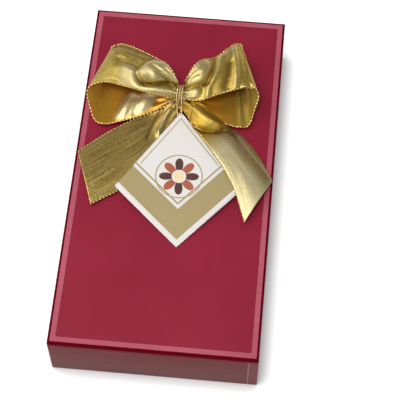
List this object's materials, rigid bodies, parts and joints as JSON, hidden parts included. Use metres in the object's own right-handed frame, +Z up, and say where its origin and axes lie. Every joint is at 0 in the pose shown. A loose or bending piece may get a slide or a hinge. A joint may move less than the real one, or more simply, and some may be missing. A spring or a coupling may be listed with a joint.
{
  "type": "candy box",
  "caption": "Rigid rectangular box of chocolates with a lift-off lid, a shoulder frame, a moulded tray of pralines and a wired ribbon bow holding a card tag.",
  "frame": {"origin": "middle of the base's underside", "axes": "+X to the right of the lid as read, +Y along the box towards the bow's end, +Z up"},
  "size_m": [0.12, 0.23, 0.055],
  "materials": {
    "base_board": "matte",
    "wrap_paper": "satin",
    "neck_card": "satin",
    "lid_board": "satin",
    "lid_border": "satin",
    "lid_panel": "satin",
    "tray_sheet": "gloss",
    "dark_chocolate": "satin",
    "milk_chocolate": "satin",
    "cream": "satin",
    "pad_paper": "matte",
    "foam": "matte",
    "ribbon": "metallic satin",
    "tie_cord": "metallic satin",
    "tag_card": "satin"
  },
  "bodies": {
    "base": {"base_tray": "base_board", "base_wrap": "wrap_paper", "neck_frame": "neck_card"},
    "tray": {"insert_tray": "tray_sheet"},
    "chocolates": {"chocolate_oval_1": "dark_chocolate", "chocolate_oval_2": "dark_chocolate", "chocolate_oval_3": "dark_chocolate", "chocolate_oval_4": "dark_chocolate", "chocolate_oval_5": "dark_chocolate", "chocolate_oval_6": "dark_chocolate", "chocolate_cup_1": "milk_chocolate", "chocolate_cup_2": "milk_chocolate", "chocolate_cup_3": "milk_chocolate", "chocolate_cup_4": "milk_chocolate", "chocolate_cup_5": "milk_chocolate", "chocolate_cup_6": "milk_chocolate", "cream_top_1": "cream", "cream_top_2": "cream", "cream_top_3": "cream", "cream_top_4": "cream", "cream_top_5": "cream", "cream_top_6": "cream", "chocolate_square_1": "dark_chocolate", "chocolate_square_2": "dark_chocolate", "chocolate_square_3": "dark_chocolate", "chocolate_square_4": "dark_chocolate", "chocolate_square_5": "dark_chocolate", "chocolate_square_6": "dark_chocolate"},
    "pad": {"cushion_pad": "pad_paper"},
    "lid": {"lid_tray": "lid_board", "lid_frame": "lid_border", "lid_panel": "lid_panel", "bow_pad": "foam", "bow_waist": "ribbon", "bow_loop_right": "ribbon", "bow_loop_left": "ribbon", "bow_tail_right": "ribbon", "bow_tail_left": "ribbon", "knot_tie": "tie_cord"},
    "tag": {"hang_tag": "tag_card"}
  },
  "joints": [
    {"name": "tray_lift", "type": "slide", "parent": "base", "child": "tray", "axis": [0, 0, 1], "range_m": [0, 0.045]},
    {"name": "chocolates_lift", "type": "slide", "parent": "tray", "child": "chocolates", "axis": [0, 0, 1], "range_m": [0, 0.03]},
    {"name": "pad_lift", "type": "slide", "parent": "chocolates", "child": "pad", "axis": [0, 0, 1], "range_m": [0, 0.03]},
    {"name": "lid_lift", "type": "slide", "parent": "pad", "child": "lid", "axis": [0, 0, 1], "range_m": [0, 0.06]},
    {"name": "tag_swivel", "type": "hinge", "parent": "lid", "child": "tag", "pos_m": [0.00149, 0.03601, 0.04428], "axis": [0.0045, -0.0723, 0.9974], "range_deg": [-8, 8]}
  ]
}
